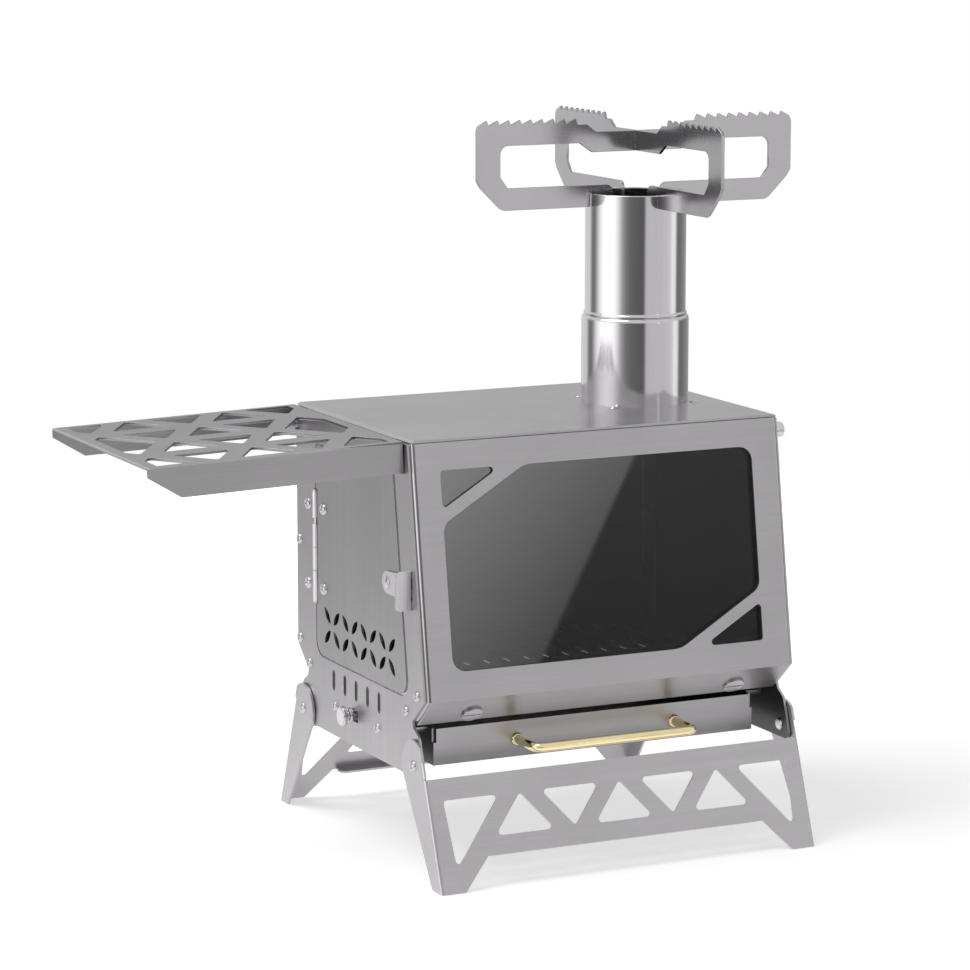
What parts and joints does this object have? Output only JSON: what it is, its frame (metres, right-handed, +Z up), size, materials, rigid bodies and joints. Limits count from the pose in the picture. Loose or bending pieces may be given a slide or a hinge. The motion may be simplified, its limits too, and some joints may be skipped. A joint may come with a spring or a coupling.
{
  "type": "tent wood stove",
  "caption": "Small folding wood stove of bent steel sheet with a window, side fuel door, ash drawer, truss legs, side shelf, short flue and a crossed pot stand.",
  "frame": {"origin": "on the ground, midway between the two pairs of leg pivots and between the side panels", "axes": "+Z up, window towards -Y, fuel door and shelf towards -X"},
  "size_m": [0.444, 0.2369, 0.4184],
  "materials": {
    "body_steel": "brushed",
    "inner_steel": "satin",
    "pipe_steel": "polished",
    "fastener_steel": "satin",
    "fire_glass": "tinted",
    "handle_brass": "polished"
  },
  "bodies": {
    "body": {"left_side_panel": "body_steel", "right_side_panel": "body_steel", "front_frame": "body_steel", "window_glass": "fire_glass", "glass_retainer": "inner_steel", "glass_clips": "inner_steel", "coin_screws": "fastener_steel", "back_panel": "body_steel", "top_plate": "body_steel", "flue_collar": "pipe_steel", "flue_screws": "fastener_steel", "fire_grate": "inner_steel", "front_cross_bar": "inner_steel", "back_cross_bar": "inner_steel", "left_drawer_rail": "inner_steel", "right_drawer_rail": "inner_steel", "door_stop": "inner_steel", "hinge_frame_leaf": "body_steel", "hinge_pin": "fastener_steel", "hinge_frame_rivets": "fastener_steel", "shelf_studs": "fastener_steel", "panel_rivets": "fastener_steel", "damper_guides": "fastener_steel", "front_pivot_screws": "fastener_steel", "back_pivot_screws": "fastener_steel"},
    "door": {"fuel_door": "body_steel", "hinge_door_leaf": "body_steel", "hinge_door_rivets": "fastener_steel", "latch_rivet": "fastener_steel"},
    "latch": {"door_latch": "body_steel"},
    "damper": {"damper_plate": "inner_steel", "damper_knob": "fastener_steel"},
    "drawer": {"ash_drawer": "body_steel", "drawer_handle": "handle_brass", "handle_screws": "fastener_steel"},
    "front_legs": {"front_leg_frame": "body_steel"},
    "back_legs": {"back_leg_frame": "body_steel"},
    "shelf": {"side_shelf": "body_steel"},
    "chimney": {"chimney_pipe": "pipe_steel"},
    "stand_lower": {"stand_plate_lower": "body_steel"},
    "stand_upper": {"stand_plate_upper": "body_steel"}
  },
  "joints": [
    {"name": "door_swing", "type": "hinge", "parent": "body", "child": "door", "pos_m": [-0.1185, 0.0621, 0.1673], "axis": [0, 0, -1], "range_deg": [0, 100]},
    {"name": "latch_lift", "type": "hinge", "parent": "door", "child": "latch", "pos_m": [-0.1185, -0.0432, 0.1644], "axis": [-1, 0, 0], "range_deg": [0, 10]},
    {"name": "damper_slide", "type": "slide", "parent": "body", "child": "damper", "axis": [0, 1, 0], "range_m": [-0.0052, 0.003]},
    {"name": "drawer_slide", "type": "slide", "parent": "body", "child": "drawer", "axis": [0, -1, 0], "range_m": [0, 0.11]},
    {"name": "front_legs_fold", "type": "hinge", "parent": "body", "child": "front_legs", "pos_m": [0, -0.0795, 0.0656], "axis": [1, 0, 0], "range_deg": [0, 110.4]},
    {"name": "back_legs_fold", "type": "hinge", "parent": "body", "child": "back_legs", "pos_m": [0, 0.0795, 0.0656], "axis": [-1, 0, 0], "range_deg": [0, 110.4]},
    {"name": "shelf_lift", "type": "slide", "parent": "body", "child": "shelf", "axis": [0, 0, 1], "range_m": [0, 0.012]},
    {"name": "chimney_lift", "type": "slide", "parent": "body", "child": "chimney", "axis": [0, 0, 1], "range_m": [0, 0.03]},
    {"name": "stand_lower_lift", "type": "slide", "parent": "chimney", "child": "stand_lower", "axis": [0, 0, 1], "range_m": [0, 0.012]},
    {"name": "stand_upper_lift", "type": "slide", "parent": "stand_lower", "child": "stand_upper", "axis": [0, 0, 1], "range_m": [0, 0.015]}
  ]
}
